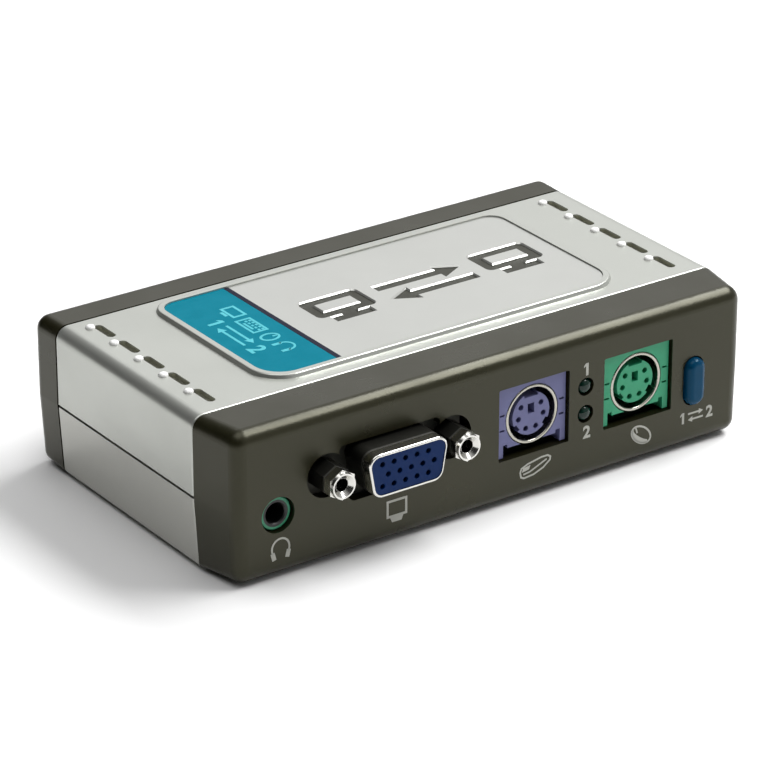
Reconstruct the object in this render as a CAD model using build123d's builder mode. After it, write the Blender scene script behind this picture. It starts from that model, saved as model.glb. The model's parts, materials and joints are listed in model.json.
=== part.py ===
"""Two-computer KVM switch box: silver cover shells, dark end bezels, sockets and circuit board.

X runs along the width, Y from the console side (front) to the computer side (rear), Z up.
The origin is under the middle of the case, on the surface that the rubber feet stand on.
"""
import os
from math import radians, tan

from build123d import *

os.makedirs("parts", exist_ok=True)

# ---- Case ----
case_width = 107.6
case_depth = 60.0
case_height = 27.4
foot_height = 0.6
wall = 2.0
case_bottom = foot_height
case_top = case_bottom + case_height
split_height = case_bottom + 12.95
split_gap = 0.5
side_draft = 0.8
top_corner_radius = 2.4
base_corner_radius = 1.0
min_corner_radius = 0.4
corner_margin = 0.4
front_y = -case_depth / 2
rear_y = case_depth / 2
front_bezel_depth = 10.1
front_edge_radius = 2.4
front_side_pull = 1.8
front_side_draft = 0.1
rear_bezel_depth = 6.9
rear_edge_radius = 1.9
rear_side_pull = -0.3
seam_gap = 0.4
bezel_wall = 1.8
lip_clearance = 0.15
lip_thickness = 1.1
lip_reach = 3.0
lip_root = 2.0
edge_break = 0.3
overlap = 0.1
tongue_height = 5.0
ledge_drop = 1.6
ledge_height = 1.8
ledge_width = 0.6

front_seam_y = front_y + front_bezel_depth
rear_seam_y = rear_y - rear_bezel_depth
cover_front_y = front_seam_y + seam_gap / 2
cover_rear_y = rear_seam_y - seam_gap / 2
cover_length = cover_rear_y - cover_front_y

# ---- Raised label plate on the top cover ----
plate_half_width = 37.0
plate_front_y = -16.9
plate_rear_y = 21.1
plate_rise = 0.7
plate_skirt = 0.35
plate_front_radius = 6.5
plate_rear_radius = 4.5
rim_width = 1.4
recess_depth = 0.25
insert_sink = 1.0
insert_clearance = 0.05
divider_x = -21.8
divider_width = 0.6
divider_drop = 0.15
plate_top = case_top + plate_rise
insert_top = plate_top - recess_depth
insert_bottom = insert_top - insert_sink

# ---- Vent slots ----
slot_x = 47.6
slot_first_y = 17.05
slot_pitch = 7.7
slot_count = 5
slot_length = 5.6
slot_width = 1.6
slot_depth = 0.9
dimple_sphere_radius = 1.2
dimple_sphere_lift = 0.85
dimple_offset = (-1.35, 2.5)

# ---- Sunk emblem on the label panel: two screens with a pair of arrows between them ----
emblem_x = 8.0
emblem_y = 2.1
emblem_pitch = 35.5
emblem_stroke = 1.9
emblem_screen_width = 11.6
emblem_screen_height = 7.2
emblem_screen_lift = 1.25
emblem_neck_width = 3.0
emblem_foot_width = 7.6
emblem_height = 9.7
emblem_arrow_length = 17.6
emblem_arrow_pitch = 5.0
emblem_head_length = 4.4
emblem_head_width = 4.6
emblem_bevel = 0.25
emblem_depth = 0.75
inlay_thickness = 0.4

# ---- Circuit board ----
board_top = 9.0
board_thickness = 1.6
board_width = 97.0
board_depth = 51.0
board_bottom = board_top - board_thickness
floor_top = case_bottom + wall
ceiling = case_top - wall
cover_post_x = 40.0
cover_post_y = 6.0
cover_post_radius = 3.8
cover_post_top = 13.0
cover_screw_radius = 1.45
cover_screw_head_radius = 2.75
cover_screw_head_height = 1.8
cover_screw_seat = 3.6
cover_screw_length = 15.0
screw_clearance = 0.05
head_clearance = 0.3
cross_recess_depth = 1.0
cross_recess_span = 3.2
cross_recess_width = 0.7
cover_screw_edge = 0.4
screw_hole_spare = 2.0
post_clearance = 0.4
board_corner_radius = 1.5
board_post_x = 46.0
board_post_y = 11.0
board_post_radius = 3.0
board_screw_radius = 1.2
board_screw_head_radius = 2.2
board_screw_head_height = 1.6
board_screw_hole_depth = 3.5
board_screw_length = 4.5
board_screw_recess_depth = 0.9
board_screw_recess_span = 2.6
board_screw_recess_width = 0.6
board_screw_edge = 0.5
foot_radius = 4.5
foot_sink = 0.5
foot_x = 43.0
foot_y = 14.0

# ---- Monitor and computer sockets (DE-15) ----
socket_z = 16.3
monitor_x = -22.0
computer_x = 24.0
shell_width = 16.33
shell_height = 7.9
shell_wall = 0.45
shell_slope = radians(10)
shell_reach = 5.4
flange_recess = 1.9
flange_width = 30.8
flange_height = 12.5
flange_thickness = 0.8
jackscrew_spacing = 24.99
jackscrew_reach = 5.0
jackscrew_flats = 4.76
jackscrew_bore_radius = 1.2
jackscrew_mouth_radius = 1.95
jackscrew_mouth_depth = 0.75
jackscrew_stud_radius = 1.4
jackscrew_stud_length = 2.5
contact_pitch = 2.29
contact_row_pitch = 1.98
contact_hole_radius = 0.5
contact_radius = 0.42
socket_body_depth = 9.0
insulator_tail = 4.0
insulator_setback = 0.15
contact_setback = 1.2
contact_tail = 1.5
socket_body_front_depth = 3.0
jackscrew_tip = 0.6
cutout_screw_radius = 3.95
cutout_half_width = 10.2
cutout_top = 4.5
cutout_shoulder = (9.0, 4.6)
cutout_base = (7.4, 6.1)
cutout_corner_radius = 0.9
flange_corner_radius = 1.5
shell_corner_radius = 2.0
opening_corner_radius = 1.6
insulator_corner_radius = 1.5
socket_body_step = 1.0
socket_body_margin = 3.0
jackscrew_taper = 15
jackscrew_mouth_taper = 44
cavity_clearance = 0.3

# ---- Keyboard and mouse sockets (mini-DIN) ----
keyboard_x = 7.55
mouse_x = 29.65
minidin_z = 15.65
minidin_width = 14.1
minidin_top = 21.95
minidin_base = 10.65
minidin_recess = 0.7
minidin_depth = 12.6
minidin_well_depth = 9.0
ring_outer_radius = 5.4
ring_inner_radius = 4.8
ring_proud = 0.1
minidin_foot = 1.1
core_radius = 3.85
core_setback = 0.25
core_key_width = 2.9
core_key_depth = 1.5
core_groove = (1.1, 1.3)
core_groove_angle = 145
core_slot_size = (1.35, 1.85)
core_slot_rise = 0.96
base_notch = (0.9, 1.3)
face_slit = (1.0, 0.35)
face_slit_depth = 4.0
face_slit_places = ((-6.2, 1.2), (6.2, 1.2), (-6.2, -1.6), (6.2, -1.6))
shield_edge_radius = 0.25
pin_tail_setback = 2.0
pin_hole_radius = 0.52
pin_setback = 1.5
window_width = 14.7
window_bottom = 8.75
window_top = 22.05
pin_places = ((-2.1, 1.55), (2.1, 1.55), (-2.6, -0.53), (2.6, -0.53), (-1.05, -2.56), (1.05, -2.56))

# ---- Audio sockets (3.5 mm) ----
headphone_x = -44.1
computer_audio_x = 46.0
audio_z = 11.85
audio_bore_radius = 1.8
audio_ring_radius = 3.0
audio_hole_radius = 3.2
audio_recess = 0.8
audio_body_width = 6.4
audio_body_height = 5.7
audio_body_front = 2.0
audio_body_depth = 11.5
audio_back_thickness = 1.0
audio_ring_chamfer = 0.2
leaf_slot = (0.4, 3.0, 7.0)
leaf_size = (0.3, 2.6, 6.6)
leaf_setback = 2.0

# ---- Port lamps ----
lamp_x = 18.4
lamp_low_z = 12.95
lamp_pitch = 5.08
lamp_radius = 1.5
lamp_hole_radius = 1.65
lamp_proud = 0.3
lamp_length = 7.0
lamp_holder_depth = 6.0
lamp_holder_width = 4.4
lamp_lead_size = 0.5
lamp_lead_spacing = 1.8
lamp_lead_reach = 2.0
lamp_lead_slant = 0.4

# ---- Select button and its switch ----
button_x = 41.8
button_z = 12.9
button_width = 3.9
button_height = 8.8
button_hole_clearance = 0.25
button_proud = 1.4
button_flange = 0.9
button_travel = 0.5
button_edge_radius = 1.2
button_stem_radius = 1.4
switch_front = 7.8
switch_size = 6.0
switch_depth = 3.6
switch_cover_thickness = 0.3
plunger_radius = 1.7
plunger_proud = 1.6
plunger_root = 0.8
plunger_clearance = 0.3

# ---- Parts on the board ----
controller_place = (8.0, 1.0)
controller_size = 10.0
video_chip_places = ((-14.0, 5.5), (-14.0, -5.5))
video_chip_size = (10.0, 4.0)
chip_stand_off = 0.1
chip_thickness = 1.5
chip_edge = 0.2
lead_thickness = 0.5
lead_length = 1.2
controller_lead_width = 0.35
controller_lead_pitch = 0.8
controller_side_leads = 11
controller_corner_radius = 0.4
video_lead_width = 0.4
video_lead_pitch = 1.27
video_side_leads = 8
crystal_place = (22.5, -8.0)
crystal_base = (11.4, 4.8, 0.5)
crystal_can = (10.4, 3.8, 3.2)
capacitor_places = ((-31.0, -5.0), (-31.0, 4.0), (20.0, 8.0))
capacitor_radius = 2.5
capacitor_height = 7.0
resistor_place = (-1.5, -11.0)
resistor_size = (2.0, 1.2, 0.5)
resistor_pitch = (3.0, 2.6)
buzzer_place = (30.5, 4.0)
buzzer_radius = 5.0
buzzer_height = 6.0
buzzer_hole_radius = 0.9
can_edge_radius = 0.4


def keep(builder, node_name):
    """Label a finished piece and write it as its own STEP file."""
    builder.part.label = node_name
    export_step(builder.part, f"parts/{node_name}.step")


def across(y):
    """Plane across the case at depth y, with its normal towards the console side."""
    return Plane.XZ.offset(-y)


def level(z):
    """Horizontal plane at height z."""
    return Plane.XY.offset(z)


def front_face(x, z):
    """Plane on the console side's outer face, looking outwards."""
    return Plane(origin=(x, front_y, z), x_dir=(1, 0, 0), z_dir=(0, -1, 0))


def rear_face(x, z):
    """Plane on the computer side's outer face, looking outwards."""
    return Plane(origin=(x, rear_y, z), x_dir=(-1, 0, 0), z_dir=(0, 1, 0))


def case_section(inset=0.0, side_pull=0.0, draft=side_draft, least_radius=min_corner_radius):
    """Cross-section of the case, drawn in the sketch that is open."""
    half = case_width / 2 - inset - side_pull
    half_base = half - draft
    low = case_bottom + inset
    high = case_top - inset
    Polygon(
        (-half_base, low),
        (-half, split_height),
        (-half, high),
        (half, high),
        (half, split_height),
        (half_base, low),
        align=None,
    )
    fillet(vertices().group_by(Axis.Y)[-1], max(top_corner_radius - inset, least_radius))
    fillet(vertices().group_by(Axis.Y)[0], max(base_corner_radius - inset, least_radius))


def d_outline(width, height, radius):
    """D-shaped outline of a DE-15 socket, wide side up, drawn in the sketch that is open."""
    top = width / 2
    base = top - height * tan(shell_slope)
    Polygon((-top, height / 2), (top, height / 2), (base, -height / 2), (-base, -height / 2), align=None)
    fillet(vertices(), radius)


def contact_spots():
    """Places of the 15 contacts of a DE-15 socket, in its own plane."""
    spots = []
    for row, shift in ((1, -contact_pitch / 4), (0, contact_pitch / 4), (-1, -contact_pitch / 4)):
        for column in range(-2, 3):
            spots.append((column * contact_pitch + shift, row * contact_row_pitch))
    return spots


def jackscrew_spots():
    """Places of the two jackscrews of a DE-15 socket, in its own plane."""
    return ((-jackscrew_spacing / 2, 0), (jackscrew_spacing / 2, 0))


def socket_cutout():
    """Bezel opening around a DE-15 socket and its jackscrews, drawn in the sketch that is open."""
    with Locations(*jackscrew_spots()):
        Circle(cutout_screw_radius)
    shoulder_x, shoulder_drop = cutout_shoulder
    base_x, base_drop = cutout_base
    Polygon(
        (-cutout_half_width, cutout_top),
        (cutout_half_width, cutout_top),
        (shoulder_x, -shoulder_drop),
        (base_x, -base_drop),
        (-base_x, -base_drop),
        (-shoulder_x, -shoulder_drop),
        align=None,
    )
    reach = cutout_half_width + overlap
    rise = cutout_top - overlap
    corners = vertices().filter_by(lambda corner: abs(corner.X) < reach and abs(corner.Y) > rise)
    fillet(corners, cutout_corner_radius)


def section_ring(inset, thickness):
    """Closed band that follows the case's section, drawn in the sketch that is open."""
    case_section(inset=inset)
    offset(amount=-thickness, kind=Kind.INTERSECTION, mode=Mode.SUBTRACT)


def bezel_shell(face_y, seam_y, edge_radius, side_pull, face_draft):
    """Hollow end cap from its outer face to its seam, with a lip that enters the covers."""
    inward = 1 if seam_y > face_y else -1
    inner_y = face_y + inward * bezel_wall
    root_ys = sorted((seam_y - inward * lip_root, seam_y))
    lip_ys = sorted((seam_y, seam_y + inward * lip_reach))
    with BuildPart() as bezel:
        with BuildSketch(across(seam_y)):
            case_section()
        with BuildSketch(across(face_y)):
            case_section(side_pull=side_pull, draft=face_draft, least_radius=edge_radius + corner_margin)
        loft()
        outer_face = faces().sort_by(Axis.Y)[0 if inward > 0 else -1]
        fillet(outer_face.edges(), edge_radius)
        with BuildSketch(across(seam_y)):
            case_section(inset=wall)
        with BuildSketch(across(inner_y)):
            case_section(inset=wall, side_pull=max(side_pull, 0.0), draft=face_draft)
        loft(mode=Mode.SUBTRACT)
        with BuildSketch(across(root_ys[1])):
            section_ring(wall - 2 * overlap, lip_clearance + lip_thickness + 2 * overlap)
        extrude(amount=root_ys[1] - root_ys[0])
        with BuildSketch(across(lip_ys[1])):
            section_ring(wall + lip_clearance, lip_thickness)
        extrude(amount=lip_ys[1] - lip_ys[0])
    return bezel.part


def cover_shell():
    """Open-ended tube of the case's section between the two seams."""
    with BuildPart() as tube:
        with BuildSketch(across(cover_rear_y)):
            case_section()
        extrude(amount=cover_length)
        end_faces = [faces().sort_by(Axis.Y)[0], faces().sort_by(Axis.Y)[-1]]
        fillet([edge for face in end_faces for edge in face.edges()], edge_break)
        with BuildSketch(across(cover_rear_y)):
            case_section(inset=wall)
        extrude(amount=cover_length, mode=Mode.SUBTRACT)
    return tube.part


def plate_outline(pull):
    """Outline of the label plate pulled in all round, drawn in the sketch that is open."""
    half = plate_half_width - pull
    Polygon(
        (-half, plate_front_y + pull),
        (half, plate_front_y + pull),
        (half, plate_rear_y - pull),
        (-half, plate_rear_y - pull),
        align=None,
    )
    fillet(vertices().group_by(Axis.Y)[0], plate_front_radius - pull)
    fillet(vertices().group_by(Axis.Y)[-1], plate_rear_radius - pull)


def emblem_outline():
    """Two screens on stands and two opposed arrows, drawn in the sketch that is open."""
    screen_y = emblem_y + emblem_screen_lift
    foot_y = emblem_y - (emblem_height - emblem_stroke) / 2
    for x in (emblem_x - emblem_pitch / 2, emblem_x + emblem_pitch / 2):
        with Locations((x, screen_y)):
            RectangleRounded(emblem_screen_width, emblem_screen_height, emblem_stroke / 2)
            Rectangle(
                emblem_screen_width - 2 * emblem_stroke,
                emblem_screen_height - 2 * emblem_stroke,
                mode=Mode.SUBTRACT,
            )
        with Locations((x, (screen_y + foot_y) / 2 - emblem_stroke / 2)):
            Rectangle(emblem_neck_width, emblem_stroke)
        with Locations((x, foot_y)):
            Rectangle(emblem_foot_width, emblem_stroke)
    for way in (-1, 1):
        arrow_y = emblem_y + way * emblem_arrow_pitch / 2
        tip_x = emblem_x + way * emblem_arrow_length / 2
        neck_x = tip_x - way * emblem_head_length
        tail_x = emblem_x - way * emblem_arrow_length / 2
        half_shaft = emblem_stroke / 2
        half_head = emblem_head_width / 2
        Polygon(
            (tail_x, arrow_y - half_shaft),
            (neck_x, arrow_y - half_shaft),
            (neck_x, arrow_y - half_head),
            (tip_x, arrow_y),
            (neck_x, arrow_y + half_head),
            (neck_x, arrow_y + half_shaft),
            (tail_x, arrow_y + half_shaft),
            align=None,
        )


def slot_places(shift_x=0.0, shift_y=0.0):
    """Places of both rows of blind vent slots."""
    places = []
    for side in (-1, 1):
        for index in range(slot_count):
            places.append((side * slot_x + shift_x, slot_first_y - index * slot_pitch + shift_y))
    return places


# ---------------------------------------------------------------- case
cover_posts = [(x, y) for x in (-cover_post_x, cover_post_x) for y in (-cover_post_y, cover_post_y)]
board_posts = [(x, y) for x in (-board_post_x, board_post_x) for y in (-board_post_y, board_post_y)]
feet = [(x, y) for x in (-foot_x, foot_x) for y in (-foot_y, foot_y)]
tongue_x = case_width / 2 - wall - lip_clearance - lip_thickness / 2
tongue_y = (front_seam_y + rear_seam_y) / 2
tongue_length = rear_seam_y - front_seam_y - 2 * lip_reach - seam_gap
insert_pull = plate_skirt + rim_width - edge_break
cutout_depth = bezel_wall + 0.5

with BuildPart() as top_cover:
    add(cover_shell())
    split(bisect_by=level(split_height + split_gap / 2), keep=Keep.TOP)
    with BuildSketch(level(case_top - 2 * overlap)):
        plate_outline(0)
    with BuildSketch(level(plate_top)):
        plate_outline(plate_skirt)
    loft()
    fillet(faces().sort_by(Axis.Z)[-1].edges(), edge_break)
    with BuildSketch(level(plate_top)):
        plate_outline(insert_pull)
    extrude(amount=-recess_depth - insert_sink, mode=Mode.SUBTRACT)
    with BuildSketch(level(case_top - slot_depth)):
        with Locations(*slot_places()):
            SlotOverall(slot_length, slot_width, rotation=90)
    extrude(amount=2 * slot_depth, mode=Mode.SUBTRACT)
    with Locations(*[(x, y, case_top + dimple_sphere_lift) for x, y in slot_places(*dimple_offset)]):
        Sphere(dimple_sphere_radius, mode=Mode.SUBTRACT)
    with BuildSketch(level(cover_post_top + overlap)):
        with Locations(*cover_posts):
            Circle(cover_post_radius - post_clearance)
    extrude(amount=ceiling - cover_post_top)
    with BuildSketch(level(cover_post_top)):
        with Locations(*cover_posts):
            Circle(cover_screw_radius + screw_clearance)
    screw_hole_depth = cover_screw_seat + cover_screw_length + screw_hole_spare - cover_post_top
    extrude(amount=screw_hole_depth, mode=Mode.SUBTRACT)
keep(top_cover, "top_cover")

with BuildPart() as bottom_cover:
    add(cover_shell())
    split(bisect_by=level(split_height - split_gap / 2), keep=Keep.BOTTOM)
    for side in (-1, 1):
        with Locations((side * tongue_x, tongue_y, split_height)):
            Box(lip_thickness, tongue_length, tongue_height)
        with Locations((side * (tongue_x + ledge_width / 2), tongue_y, split_height - ledge_drop)):
            Box(lip_thickness + ledge_width, tongue_length, ledge_height)
    with BuildSketch(level(floor_top - overlap)):
        with Locations(*cover_posts):
            Circle(cover_post_radius)
    extrude(amount=cover_post_top - floor_top + overlap)
    with BuildSketch(level(floor_top - overlap)):
        with Locations(*board_posts):
            Circle(board_post_radius)
    extrude(amount=board_bottom - floor_top + overlap)
    with BuildSketch(level(board_bottom)):
        with Locations(*board_posts):
            Circle(board_screw_radius)
    extrude(amount=-board_screw_hole_depth, mode=Mode.SUBTRACT)
    with BuildSketch(level(case_bottom)):
        with Locations(*cover_posts):
            Circle(cover_screw_head_radius + head_clearance)
    extrude(amount=cover_screw_seat - case_bottom, mode=Mode.SUBTRACT)
    with BuildSketch(level(case_bottom)):
        with Locations(*cover_posts):
            Circle(cover_screw_radius + screw_clearance)
    extrude(amount=cover_post_top, mode=Mode.SUBTRACT)
    with BuildSketch(level(case_bottom)):
        with Locations(*feet):
            Circle(foot_radius + 2 * overlap)
    extrude(amount=foot_sink, mode=Mode.SUBTRACT)
keep(bottom_cover, "bottom_cover")

with BuildPart() as front_bezel:
    add(bezel_shell(front_y, front_seam_y, front_edge_radius, front_side_pull, front_side_draft))
    with BuildSketch(front_face(monitor_x, socket_z)):
        socket_cutout()
    extrude(amount=-cutout_depth, mode=Mode.SUBTRACT)
    window_z = (window_bottom + window_top) / 2
    for socket_x in (keyboard_x, mouse_x):
        with BuildSketch(front_face(socket_x, window_z)):
            RectangleRounded(window_width, window_top - window_bottom, edge_break)
        extrude(amount=-cutout_depth, mode=Mode.SUBTRACT)
    with BuildSketch(front_face(lamp_x, lamp_low_z)):
        with Locations((0, 0), (0, lamp_pitch)):
            Circle(lamp_hole_radius)
    extrude(amount=-cutout_depth, mode=Mode.SUBTRACT)
    with BuildSketch(front_face(headphone_x, audio_z)):
        Circle(audio_hole_radius)
    extrude(amount=-cutout_depth, mode=Mode.SUBTRACT)
    with BuildSketch(front_face(button_x, button_z)):
        hole_height = button_height + 2 * button_hole_clearance
        hole_width = button_width + 2 * button_hole_clearance
        SlotOverall(hole_height, hole_width, rotation=90)
    extrude(amount=-cutout_depth, mode=Mode.SUBTRACT)
keep(front_bezel, "front_bezel")

with BuildPart() as rear_bezel:
    add(bezel_shell(rear_y, rear_seam_y, rear_edge_radius, rear_side_pull, side_draft))
    for side in (-1, 1):
        with BuildSketch(rear_face(side * computer_x, socket_z)):
            socket_cutout()
        extrude(amount=-cutout_depth, mode=Mode.SUBTRACT)
        with BuildSketch(rear_face(side * computer_audio_x, audio_z)):
            Circle(audio_hole_radius)
        extrude(amount=-cutout_depth, mode=Mode.SUBTRACT)
keep(rear_bezel, "rear_bezel")

# ---------------------------------------------------------------- label plate inserts
with BuildPart() as label_panel:
    with BuildSketch(level(insert_bottom)):
        plate_outline(insert_pull + insert_clearance)
    extrude(amount=insert_sink)
    split(bisect_by=Plane.YZ.offset(divider_x + divider_width / 2), keep=Keep.TOP)
    with BuildSketch(level(insert_top)):
        emblem_outline()
    extrude(amount=-emblem_depth, mode=Mode.SUBTRACT)
    top_faces = faces().filter_by(lambda face: abs(face.center().Z - insert_top) < overlap / 10)
    sunk_edges = ShapeList([edge for face in top_faces for edge in face.edges()]).filter_by(
        lambda edge: abs(edge.center().Y - emblem_y) < emblem_height
        and abs(edge.center().X - emblem_x) < (emblem_pitch + emblem_screen_width) / 2 + 1.0
        and edge.length < case_width / 4
    )
    chamfer(sunk_edges, emblem_bevel)
keep(label_panel, "label_panel")

with BuildPart() as emblem_inlay:
    with BuildSketch(level(insert_top - emblem_depth)):
        emblem_outline()
    extrude(amount=inlay_thickness)
keep(emblem_inlay, "emblem_inlay")

with BuildPart() as teal_label:
    with BuildSketch(level(insert_bottom)):
        plate_outline(insert_pull + insert_clearance)
    extrude(amount=insert_sink)
    split(bisect_by=Plane.YZ.offset(divider_x - divider_width / 2), keep=Keep.BOTTOM)
keep(teal_label, "teal_label")

with BuildPart() as label_divider:
    with BuildSketch(level(insert_bottom)):
        with Locations((divider_x, (plate_front_y + plate_rear_y) / 2)):
            divider_length = plate_rear_y - plate_front_y - 2 * (insert_pull + insert_clearance)
            Rectangle(divider_width, divider_length)
    extrude(amount=insert_sink - divider_drop)
keep(label_divider, "label_divider")

# ---------------------------------------------------------------- feet and cover screws
with BuildPart() as rubber_feet:
    with BuildSketch():
        with Locations(*feet):
            Circle(foot_radius)
    extrude(amount=case_bottom + foot_sink)
    fillet(edges().group_by(Axis.Z)[0], edge_break)
keep(rubber_feet, "rubber_feet")

with BuildPart() as cover_screws:
    with BuildSketch(level(cover_screw_seat)):
        with Locations(*cover_posts):
            Circle(cover_screw_head_radius)
    extrude(amount=-cover_screw_head_height)
    chamfer(edges().group_by(Axis.Z)[0], cover_screw_edge)
    with BuildSketch(level(cover_screw_seat)):
        with Locations(*cover_posts):
            Circle(cover_screw_radius)
    extrude(amount=cover_screw_length)
    with BuildSketch(level(cover_screw_seat - cover_screw_head_height)):
        with Locations(*cover_posts):
            Rectangle(cross_recess_span, cross_recess_width)
            Rectangle(cross_recess_width, cross_recess_span)
    extrude(amount=cross_recess_depth, mode=Mode.SUBTRACT)
keep(cover_screws, "cover_screws")

# ---------------------------------------------------------------- circuit board
with BuildPart() as main_board:
    with BuildSketch(level(board_bottom)):
        RectangleRounded(board_width, board_depth, board_corner_radius)
        with Locations(*cover_posts):
            Circle(cover_post_radius + post_clearance, mode=Mode.SUBTRACT)
        with Locations(*board_posts):
            Circle(board_screw_radius + 2 * overlap, mode=Mode.SUBTRACT)
    extrude(amount=board_thickness)
keep(main_board, "main_board")

with BuildPart() as board_screws:
    with BuildSketch(level(board_top)):
        with Locations(*board_posts):
            Circle(board_screw_head_radius)
    extrude(amount=board_screw_head_height)
    fillet(edges().group_by(Axis.Z)[-1], board_screw_edge)
    with BuildSketch(level(board_top)):
        with Locations(*board_posts):
            Circle(board_screw_radius - screw_clearance)
    extrude(amount=-board_screw_length)
    with BuildSketch(level(board_top + board_screw_head_height)):
        with Locations(*board_posts):
            Rectangle(board_screw_recess_span, board_screw_recess_width)
            Rectangle(board_screw_recess_width, board_screw_recess_span)
    extrude(amount=-board_screw_recess_depth, mode=Mode.SUBTRACT)
keep(board_screws, "board_screws")


# ---------------------------------------------------------------- DE-15 sockets
def de15_socket(face, prefix):
    """Write the five pieces of one DE-15 socket whose mouth looks out of the given face."""
    flange = face.offset(-flange_recess)
    opening_width = shell_width - 2 * shell_wall
    opening_height = shell_height - 2 * shell_wall
    body_front = flange_recess + flange_thickness
    body_drop = socket_z - board_top
    body_top = flange_height / 2

    with BuildPart() as shell:
        with BuildSketch(flange):
            RectangleRounded(flange_width, flange_height, flange_corner_radius)
        extrude(amount=-flange_thickness)
        with BuildSketch(flange):
            d_outline(shell_width, shell_height, shell_corner_radius)
        extrude(amount=shell_reach + flange_recess)
        fillet(faces().sort_by(Axis.Y)[0 if face.z_dir.Y < 0 else -1].edges(), edge_break)
        with BuildSketch(face.offset(shell_reach)):
            d_outline(opening_width, opening_height, opening_corner_radius)
        extrude(amount=-shell_reach - body_front, mode=Mode.SUBTRACT)
        with BuildSketch(flange):
            with Locations(*jackscrew_spots()):
                Circle(jackscrew_stud_radius + overlap)
        extrude(amount=-flange_thickness, mode=Mode.SUBTRACT)
    keep(shell, f"{prefix}_shell")

    with BuildPart() as insulator:
        with BuildSketch(face.offset(shell_reach - insulator_setback)):
            d_outline(opening_width - overlap, opening_height - overlap, insulator_corner_radius)
            with Locations(*contact_spots()):
                Circle(contact_hole_radius, mode=Mode.SUBTRACT)
        extrude(amount=-(shell_reach - insulator_setback + body_front + insulator_tail))
    keep(insulator, f"{prefix}_insulator")

    with BuildPart() as contacts:
        with BuildSketch(face.offset(shell_reach - contact_setback)):
            with Locations(*contact_spots()):
                Circle(contact_radius)
        extrude(amount=-(shell_reach - contact_setback + body_front + insulator_tail + contact_tail))
    keep(contacts, f"{prefix}_contacts")

    with BuildPart() as body:
        with BuildSketch(face.offset(-body_front)):
            with Locations((0, (body_top - body_drop) / 2)):
                Rectangle(flange_width, body_top + body_drop)
            with Locations(*jackscrew_spots()):
                Circle(jackscrew_stud_radius + overlap, mode=Mode.SUBTRACT)
        extrude(amount=-socket_body_front_depth)
        with BuildSketch(face.offset(-body_front - socket_body_front_depth)):
            with Locations((0, (body_top - socket_body_step - body_drop) / 2)):
                Rectangle(shell_width + socket_body_margin, body_top - socket_body_step + body_drop)
        extrude(amount=-(socket_body_depth - socket_body_front_depth))
        with BuildSketch(face.offset(-body_front)):
            d_outline(opening_width + overlap, opening_height + overlap, insulator_corner_radius)
        extrude(amount=-insulator_tail - contact_tail - cavity_clearance, mode=Mode.SUBTRACT)
    keep(body, f"{prefix}_body")

    with BuildPart() as jackscrews:
        with BuildSketch(flange):
            with Locations(*jackscrew_spots()):
                RegularPolygon(jackscrew_flats / 2, 6, major_radius=False, rotation=30)
        extrude(amount=flange_recess + jackscrew_reach - jackscrew_tip)
        with BuildSketch(face.offset(jackscrew_reach - jackscrew_tip)):
            with Locations(*jackscrew_spots()):
                Circle(jackscrew_flats / 2)
        extrude(amount=jackscrew_tip, taper=jackscrew_taper)
        with BuildSketch(flange):
            with Locations(*jackscrew_spots()):
                Circle(jackscrew_stud_radius)
        extrude(amount=-flange_thickness - jackscrew_stud_length)
        with BuildSketch(face.offset(jackscrew_reach)):
            with Locations(*jackscrew_spots()):
                Circle(jackscrew_bore_radius)
        extrude(amount=-jackscrew_reach - 1.0, mode=Mode.SUBTRACT)
        with BuildSketch(face.offset(jackscrew_reach)):
            with Locations(*jackscrew_spots()):
                Circle(jackscrew_mouth_radius)
        extrude(amount=-jackscrew_mouth_depth, taper=jackscrew_mouth_taper, mode=Mode.SUBTRACT)
    keep(jackscrews, f"{prefix}_jackscrews")


de15_socket(front_face(monitor_x, socket_z), "monitor_socket")
de15_socket(rear_face(-computer_x, socket_z), "computer_1_socket")
de15_socket(rear_face(computer_x, socket_z), "computer_2_socket")


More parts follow.
